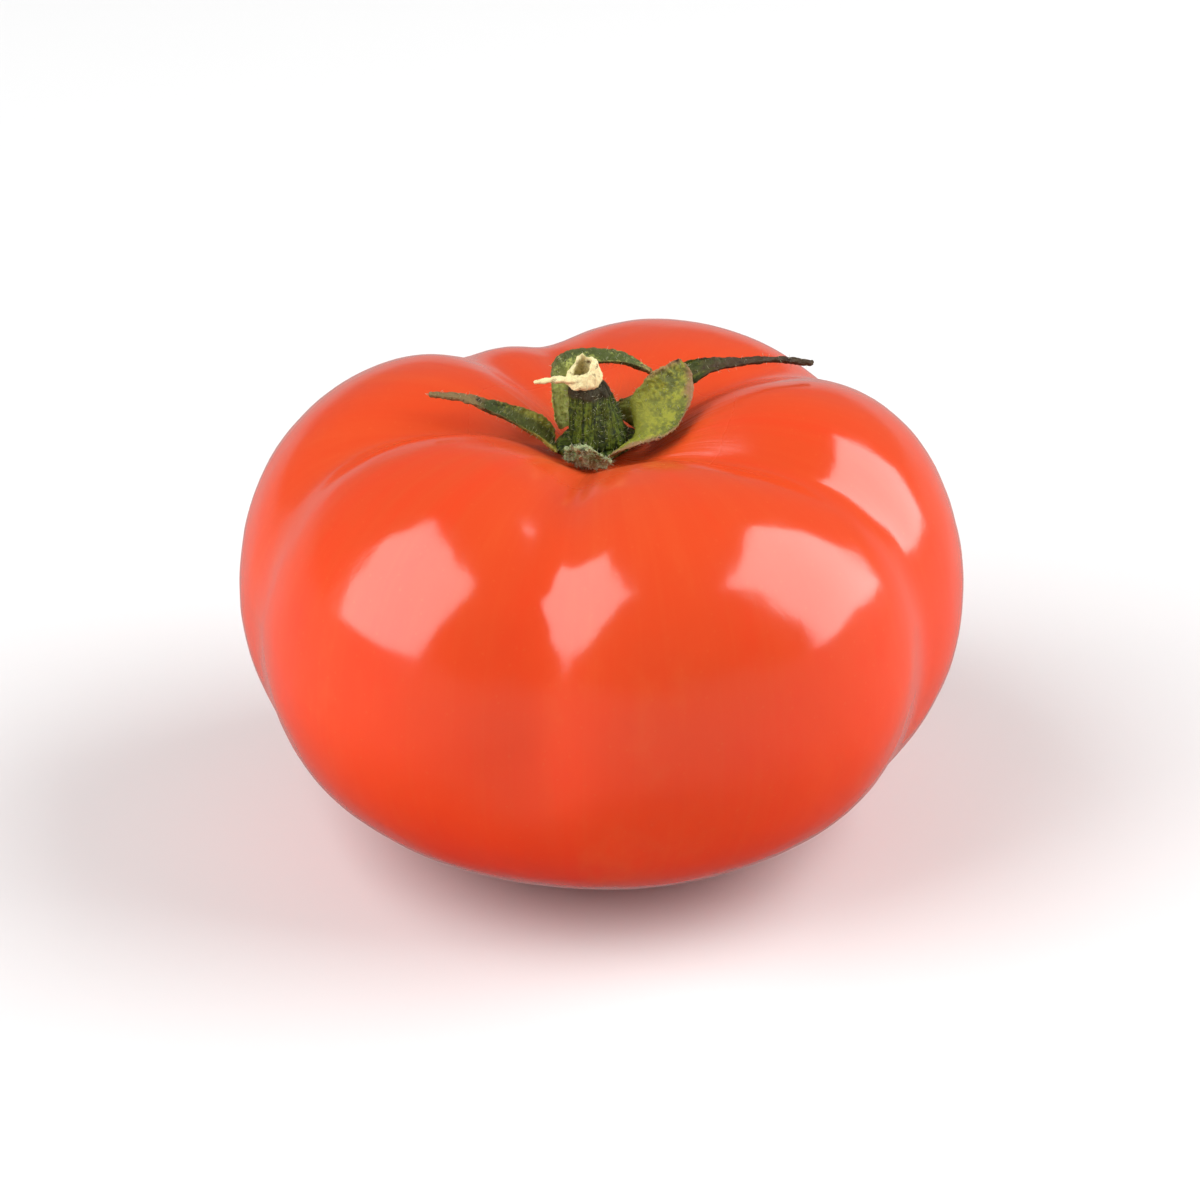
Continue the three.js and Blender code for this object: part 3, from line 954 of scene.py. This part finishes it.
@dataclass
class DryEnd:
    """The torn, dried end of the stem: a ragged cup with one strip of it peeled off sideways."""

    finish: DryFinish = field(default_factory=DryFinish)
    sides: int = 14
    wall: float = 0.55 * MM
    sink: float = 0.7 * MM
    set_back: float = 0.3 * MM
    draws: tuple[tuple[float, float], ...] = ((0.3, 1.0), (0.3, 0.9), (0.4, 0.66))
    open_azimuth: float = -50.0
    open_spread: float = 120.0
    open_depth: float = 0.62
    strip_steps: int = 5
    strip_size: tuple[float, float, float] = (0.4 * MM, 1.7 * MM, 1.0 * MM)
    strip_narrowing: tuple[float, float, float] = (1.0, 0.84, 0.9)
    strip_rise: float = 0.36
    lumps: tuple[tuple[float, float], ...] = ((0.9 * MM, 0.65 * MM), (0.3 * MM, 0.28 * MM))
    low: Vector = field(init=False)
    high: Vector = field(init=False)
    axis: Vector = field(init=False)
    radius: float = field(init=False)

    def build(self) -> bpy.types.Object:
        """Makes and dresses the dried end.

        Returns:
            The finished end, cup and strip in one piece.
        """
        self.low, self.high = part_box("stem_dry_end")
        self.radius = self.high.y
        across = self.high.x - self.radius - self.set_back
        self.axis = Vector((across, 0.0, self.low.z - self.sink))
        cup = self.torn_cup()
        strip = self.peeled_strip()
        bpy.ops.object.select_all(action="DESELECT")
        strip.select_set(True)
        cup.select_set(True)
        bpy.context.view_layer.objects.active = cup
        bpy.ops.object.join()
        bpy.ops.object.transform_apply(location=True, rotation=True, scale=True)
        subdivide(cup, 2)
        for size, depth in self.lumps:
            displace(cup, size, depth)
        finish_piece(cup, self.finish.build(), "dry_stem", "stem_dry_end")
        return cup

    def torn_cup(self) -> bpy.types.Object:
        """Makes a cup, drawn up in steps, torn low on its open side and thickened inwards.

        Returns:
            The cup.
        """
        height = self.high.z - self.axis.z
        bpy.ops.object.select_all(action="DESELECT")
        bpy.ops.mesh.primitive_circle_add(
            vertices=self.sides, radius=self.radius, fill_type="NGON", location=self.axis
        )
        cup = bpy.context.view_layer.objects.active
        cup.name = "stem_dry_tip"
        bpy.ops.object.transform_apply(location=True, rotation=True, scale=True)
        bpy.ops.object.mode_set(mode="EDIT")
        bpy.ops.mesh.select_mode(type="EDGE")
        bpy.ops.mesh.select_all(action="SELECT")
        for rise, narrowing in self.draws:
            up = {"value": (0.0, 0.0, rise * height)}
            bpy.ops.mesh.extrude_edges_move(TRANSFORM_OT_translate=up)
            narrower = (narrowing, narrowing, 1.0)
            bpy.ops.transform.resize(value=narrower, center_override=self.axis)
        bpy.ops.mesh.select_all(action="SELECT")
        bpy.ops.mesh.normals_make_consistent(inside=False)
        bpy.ops.object.mode_set(mode="OBJECT")
        move_points(cup, self.tear)
        shell = cup.modifiers.new("wall", "SOLIDIFY")
        shell.thickness = self.wall
        shell.offset = -1.0
        apply_all(cup)
        return cup

    def tear(self, point: Vector, normal: Vector) -> Vector:
        """Lowers the rim on the open side, raggedly.

        Args:
            point: the point's place.
            normal: the point's normal.

        Returns:
            The point's move.
        """
        height = self.high.z - self.axis.z
        share = (point.z - self.axis.z) / height
        turn = math.degrees(math.atan2(point.x - self.axis.x, self.axis.y - point.y))
        gap = angle_between(turn, self.open_azimuth)
        low = self.open_depth * max(0.0, 1.0 - gap / self.open_spread)
        jag = 0.10 * math.sin(math.radians(5 * turn))
        jag += 0.08 * math.sin(math.radians(3 * turn + 40))
        return Vector((0.0, 0.0, -(low + jag) * share**2 * height))

    def peeled_strip(self) -> bpy.types.Object:
        """Makes a flat strip that leaves the cup sideways and droops at its end.

        Returns:
            The strip.
        """
        reach = (self.axis.x - self.low.x) / self.strip_steps
        level = self.axis.z + self.strip_rise * (self.high.z - self.axis.z)
        start = Vector((self.axis.x - 0.1 * MM, -self.radius * 0.55, level))
        bpy.ops.object.select_all(action="DESELECT")
        bpy.ops.mesh.primitive_cube_add(size=1.0, location=start)
        strip = bpy.context.view_layer.objects.active
        bpy.ops.transform.resize(value=self.strip_size, center_override=start)
        bpy.ops.object.transform_apply(location=True, rotation=True, scale=True)
        bpy.ops.object.mode_set(mode="EDIT")
        bpy.ops.mesh.select_mode(type="FACE")
        bpy.ops.mesh.select_all(action="DESELECT")
        bpy.ops.object.mode_set(mode="OBJECT")
        for face in strip.data.polygons:
            face.select = face.normal.x < -0.9
        bpy.ops.object.mode_set(mode="EDIT")
        where = start.copy()
        for step in range(self.strip_steps):
            move = Vector((-reach, 0.12 * MM, (0.05 - 0.09 * step) * MM))
            where += move
            bpy.ops.mesh.extrude_region_move(TRANSFORM_OT_translate={"value": move})
            bpy.ops.transform.resize(value=self.strip_narrowing, center_override=where)
        bpy.ops.object.mode_set(mode="OBJECT")
        return strip


@dataclass
class Hairs:
    """Short hairs that stand on the stub, the disc and the sepals."""

    finish: HairFinish = field(default_factory=HairFinish)
    length: float = 0.5 * MM
    thickness: float = 0.028 * MM
    taper: float = 0.25
    lengths: tuple[float, float] = (0.45, 1.25)
    seed: int = 7

    def build(self, grounds: Sequence[tuple[bpy.types.Object, int]]) -> bpy.types.Object:
        """Makes and dresses the hairs.

        Args:
            grounds: pairs of a piece and how many hairs stand on it.

        Returns:
            The one piece that holds all the hairs.
        """
        single = self.single_hair()
        dice = random.Random(self.seed)
        together = bmesh.new()
        for ground, count in grounds:
            for place in self.places(ground, count, dice):
                start = len(together.verts)
                together.from_mesh(single.data)
                together.verts.ensure_lookup_table()
                bmesh.ops.transform(together, matrix=place, verts=together.verts[start:])
        only(single)
        together.to_mesh(single.data)
        together.free()
        finish_piece(single, self.finish.build(), "sepal")
        return single

    def single_hair(self) -> bpy.types.Object:
        """Makes one tapering hair, a millimetre long, that stands on the origin.

        Returns:
            The hair.
        """
        bpy.ops.object.select_all(action="DESELECT")
        bpy.ops.mesh.primitive_cone_add(
            vertices=4,
            radius1=self.thickness,
            radius2=self.thickness * self.taper,
            depth=1.0 * MM,
            location=(0.0, 0.0, 0.5 * MM),
        )
        piece = bpy.context.view_layer.objects.active
        piece.name = "calyx_hairs"
        bpy.ops.object.transform_apply(location=True, rotation=True, scale=True)
        run = piece.data.attributes.new("run", "FLOAT", "POINT")
        for vertex in piece.data.vertices:
            run.data[vertex.index].value = vertex.co.z / MM
        return piece

    def places(
        self, ground: bpy.types.Object, count: int, dice: random.Random
    ) -> list[Matrix]:
        """Where hairs stand on a piece.

        Args:
            ground: the piece that they stand on.
            count: how many there are.
            dice: the seeded source of chance.

        Returns:
            One placing matrix for each hair.
        """
        faces = ground.data.polygons
        weights = [face.area for face in faces]
        placed = []
        for index in dice.choices(range(len(faces)), weights=weights, k=count):
            face = faces[index]
            lean = Vector((dice.uniform(-1, 1), dice.uniform(-1, 1), dice.uniform(-0.4, 1))) * 0.5
            way = (face.normal + lean).normalized()
            size = self.length / MM * dice.uniform(*self.lengths)
            turn = way.to_track_quat("Z", "Y").to_matrix().to_4x4()
            stretch = Matrix.Diagonal((1.0, 1.0, size, 1.0))
            placed.append(Matrix.Translation(face.center) @ turn @ stretch)
        return placed


@dataclass
class Tomato:
    """The whole tomato: its finishes, how its sepals are pulled, and its count of hairs."""

    leaf: LeafFinish = LeafFinish(
        "sepal_green",
        # The dark brown tip is partly the dried tip and partly painted shade of the blade's inner
        # fold.
        dry=(0.055, 0.032, 0.014),
        dry_from=0.43,
        foot_painted_light=0.7,
    )
    old_leaf: LeafFinish = LeafFinish(
        "sepal_withering",
        light=(0.36, 0.35, 0.05),
        light_share=0.45,
        dry=(0.19, 0.125, 0.05),
        dry_from=0.5,
        margin_dryness=0.35,
        foot_painted_light=1.0,
        rib_light=0.0,
        fold_shade=0.85,
    )
    pale_leaf: LeafFinish = LeafFinish(
        "sepal_pale",
        dark=(0.10, 0.115, 0.025),
        light=(0.30, 0.31, 0.035),
        light_share=0.8,
        dry=(0.28, 0.16, 0.075),
        dry_from=0.73,
        margin_dryness=1.0,
        foot_painted_light=0.7,
    )
    back_leaf: LeafFinish = LeafFinish(
        "sepal_back_green",
        dark=(0.06, 0.078, 0.014),
        # Painted light: the light colour is raised so that the foot in the stub's shade reads pale,
        # which also pales the whole blade.
        light=(0.50, 0.54, 0.13),
        dry_from=0.85,
        margin_dryness=0.3,
        foot_painted_light=0.9,
    )
    crust: LeafFinish = LeafFinish(
        "sepal_crust",
        dark=(0.13, 0.18, 0.07),
        light=(0.62, 0.68, 0.46),
        dry=(0.30, 0.36, 0.18),
        burnt=(0.07, 0.08, 0.035),
    )
    scoop_pulls: tuple[Pull, ...] = (
        Pull((5.4, -4.5, 51.4), (-4.8, 0.0, -1.1), 5.4),
        Pull((6.7, 2.9, 57.2), (-1.0, 0.0, 0.9), 4.0),
        Pull((6.2, 0.6, 54.8), (-2.6, 0.8, 0.6), 4.2),
        Pull((9.8, -1.0, 51.6), (0.8, 0.0, -0.1), 3.5),
    )
    crust_pulls: tuple[Pull, ...] = (Pull((-2.0, -5.6, 53.4), (0.3, 0.4, -0.9), 2.6),)
    right_pulls: tuple[Pull, ...] = (Pull((4.6, 5.4, 52.7), (-2.4, -1.5, 1.6), 4.2),)
    stub_hairs: int = 420
    disc_hairs: int = 160
    sepal_hairs: int = 120
    crust_hairs: int = 260

    def build(self) -> None:
        """Builds every piece in order."""
        stalk = StalkFinish(top=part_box("stem_stub")[1].z)
        Fruit().build()
        disc = Disc(stalk).build()
        stub = Stub(stalk).build()
        DryEnd().build()
        sepals = [
            Sepal("sepal_left", self.old_leaf),
            Sepal("sepal_right", self.leaf, self.right_pulls),
            Sepal("sepal_front_right", self.pale_leaf, self.scoop_pulls, raggedness=0.65 * MM),
            Sepal("sepal_back", self.back_leaf),
            Sepal("sepal_front", self.crust, self.crust_pulls, crinkle=1.3 * MM, waviness=1.1 * MM),
        ]
        blades = [sepal.build() for sepal in sepals]
        grounds = [(stub, self.stub_hairs), (disc, self.disc_hairs)]
        grounds += [(blade, self.sepal_hairs) for blade in blades]
        grounds.append((blades[-1], self.crust_hairs))
        Hairs().build(grounds)


# ---------------------------------------------------------------- studio


def from_aim(distance: float, azimuth: float, elevation: float) -> Vector:
    """The way from the point aimed at to a light or the camera.

    Args:
        distance: how far away it is.
        azimuth: degrees from the front, seen from above.
        elevation: degrees above the horizon.

    Returns:
        The vector.
    """
    rise, turn = math.radians(elevation), math.radians(azimuth)
    across = distance * math.cos(rise)
    return Vector((across * math.sin(turn), -across * math.cos(turn), distance * math.sin(rise)))


def aim_from(thing: bpy.types.Object, aim: Vector, offset: Vector) -> None:
    """Places a light or the camera off the point aimed at, facing it."""
    thing.location = aim + offset
    thing.rotation_euler = (-offset).to_track_quat("-Z", "Y").to_euler()


@dataclass(frozen=True)
class Softbox:
    """One large soft light, aimed at the tomato."""

    name: str
    azimuth: float
    elevation: float
    width: float
    height: float
    brightness: float
    distance: float = 1.1

    def build(self, aim: Vector) -> None:
        """Hangs the light.

        Args:
            aim: the point that it faces.
        """
        light = bpy.data.lights.new(self.name, "AREA")
        light.shape = "RECTANGLE"
        light.size = self.width
        light.size_y = self.height
        light.energy = self.brightness * math.pi * self.width * self.height
        lamp = bpy.data.objects.new(self.name, light)
        lamp.visible_camera = False
        bpy.context.scene.collection.objects.link(lamp)
        offset = from_aim(self.distance, self.azimuth, self.elevation)
        aim_from(lamp, aim, offset)


@dataclass
class Studio:
    """The pale floor, the soft light and the camera.

    The sky starts from its lowest strength. Each of its steps gives the heights, from -1 straight
    down to 1 straight up, between which the strength changes, and by how much it does.
    """

    floor_size: float = 2.6
    floor_colour: Colour = (0.72, 0.72, 0.72)
    floor_mottle: float = 0.985
    sky_lowest: float = 0.08
    sky_steps: tuple[tuple[float, float, float], ...] = ((-0.95, -0.25, 0.41), (0.0, 0.22, -0.27))
    focal_length: float = 190.0
    camera_distance: float = 0.78
    camera_elevation: float = 28.0
    aim_height: float = 29 * MM
    softboxes: tuple[Softbox, ...] = (
        Softbox("softbox_left", -69.0, 38.0, 1.0, 1.36, 4.4),
        Softbox("softbox_right", 94.0, 33.0, 1.0, 1.15, 5.2),
    )

    def build(self) -> None:
        """Sets up the whole studio."""
        self.lay_floor()
        self.fill_sky()
        aim = Vector((0.0, 0.0, self.aim_height))
        for softbox in self.softboxes:
            softbox.build(aim)
        self.place_camera(aim)
        bpy.context.scene.view_settings.view_transform = "Standard"

    def lay_floor(self) -> None:
        """Lays the floor with a faint mottle."""
        bpy.ops.object.select_all(action="DESELECT")
        bpy.ops.mesh.primitive_plane_add(size=self.floor_size, location=(0.0, 0.0, 0.0))
        floor = bpy.context.view_layer.objects.active
        floor.name = "studio_floor"
        s = Shader("studio_white")
        darker = tuple(self.floor_mottle * c for c in self.floor_colour)
        s.set(Base_Color=s.mix(s.noise(9.0), self.floor_colour, darker), Roughness=0.7)
        floor.data.materials.append(s.material)
        floor.visible_glossy = False

    def fill_sky(self) -> None:
        """Fills the room with white light, strongest in a band below the horizon."""
        world = bpy.data.worlds.new("studio_sky")
        bpy.context.scene.world = world
        world.use_nodes = True
        nodes, links = world.node_tree.nodes, world.node_tree.links
        place = nodes.new("ShaderNodeTexCoord")
        height = nodes.new("ShaderNodeSeparateXYZ")
        links.new(place.outputs["Generated"], height.inputs[0])
        strength: bpy.types.NodeSocket | None = None
        for low, high, gain in self.sky_steps:
            step = nodes.new("ShaderNodeMapRange")
            step.interpolation_type = "SMOOTHSTEP"
            step.inputs["From Min"].default_value = low
            step.inputs["From Max"].default_value = high
            step.inputs["To Max"].default_value = gain
            links.new(height.outputs["Z"], step.inputs["Value"])
            total = nodes.new("ShaderNodeMath")
            links.new(step.outputs["Result"], total.inputs[0])
            if strength is None:
                total.inputs[1].default_value = self.sky_lowest
            else:
                links.new(strength, total.inputs[1])
            strength = total.outputs[0]
        links.new(strength, nodes["Background"].inputs["Strength"])
        nodes["Background"].inputs["Color"].default_value = (1.0, 1.0, 1.0, 1.0)

    def place_camera(self, aim: Vector) -> None:
        """Puts the camera in front, looking down at the tomato.

        Args:
            aim: the point at the middle of the view.
        """
        camera = bpy.data.objects.new("camera", bpy.data.cameras.new("camera"))
        bpy.context.scene.collection.objects.link(camera)
        aim_from(camera, aim, from_aim(self.camera_distance, 0.0, self.camera_elevation))
        camera.data.lens = self.focal_length
        camera.data.clip_start = 0.01
        bpy.context.scene.camera = camera


def main() -> None:
    """Builds the tomato and its studio."""
    logging.basicConfig(level=logging.INFO, format="%(name)s %(message)s")
    Tomato().build()
    Studio().build()


if __name__ == "__main__":
    main()
